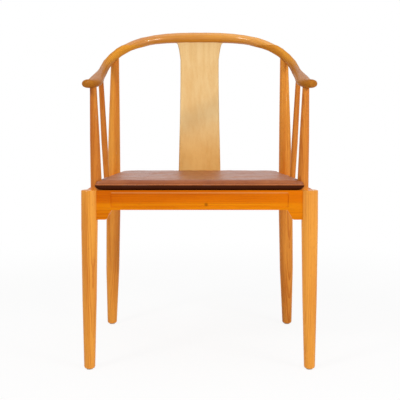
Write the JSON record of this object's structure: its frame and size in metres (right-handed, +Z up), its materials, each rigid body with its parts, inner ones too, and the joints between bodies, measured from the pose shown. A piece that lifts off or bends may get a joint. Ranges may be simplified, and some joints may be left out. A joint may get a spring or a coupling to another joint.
{
  "type": "armchair",
  "caption": "Horseshoe back armchair in cherry wood with one bent rail for arms and back, a curved splat, side spindles, round legs and a loose brown leather cushion",
  "frame": {"origin": "on the floor, below the middle of the chair's bounding box", "axes": "+X to the sitter's left, +Y backwards, +Z up"},
  "size_m": [0.5508, 0.5496, 0.825],
  "materials": {
    "cherry": "oiled cherry",
    "pale_cherry": "oiled cherry, paler board",
    "plywood": "sanded plywood",
    "nylon": "moulded nylon",
    "leather": "waxed brown leather",
    "wadding": "cotton cased wadding"
  },
  "bodies": {
    "frame": {"crest_rail": "cherry", "arm_rail_left": "cherry", "arm_rail_right": "cherry", "back_splat": "pale_cherry", "front_leg_left": "cherry", "front_leg_right": "cherry", "back_leg_left": "cherry", "back_leg_right": "cherry", "front_seat_rail": "cherry", "back_seat_rail": "cherry", "side_seat_rail_left": "cherry", "side_seat_rail_right": "cherry", "side_spindle_left": "cherry", "side_spindle_right": "cherry", "seat_panel": "plywood", "corner_brace_front_left": "cherry", "corner_brace_front_right": "cherry", "corner_brace_back_left": "cherry", "corner_brace_back_right": "cherry", "foot_glide_front_left": "nylon", "foot_glide_front_right": "nylon", "foot_glide_back_left": "nylon", "foot_glide_back_right": "nylon"},
    "cushion": {"cushion_cover": "leather", "cushion_core": "wadding"}
  },
  "joints": [
    {"name": "cushion_lift", "type": "slide", "parent": "frame", "child": "cushion", "axis": [0, 0, 1], "range_m": [0, 0.15]}
  ]
}
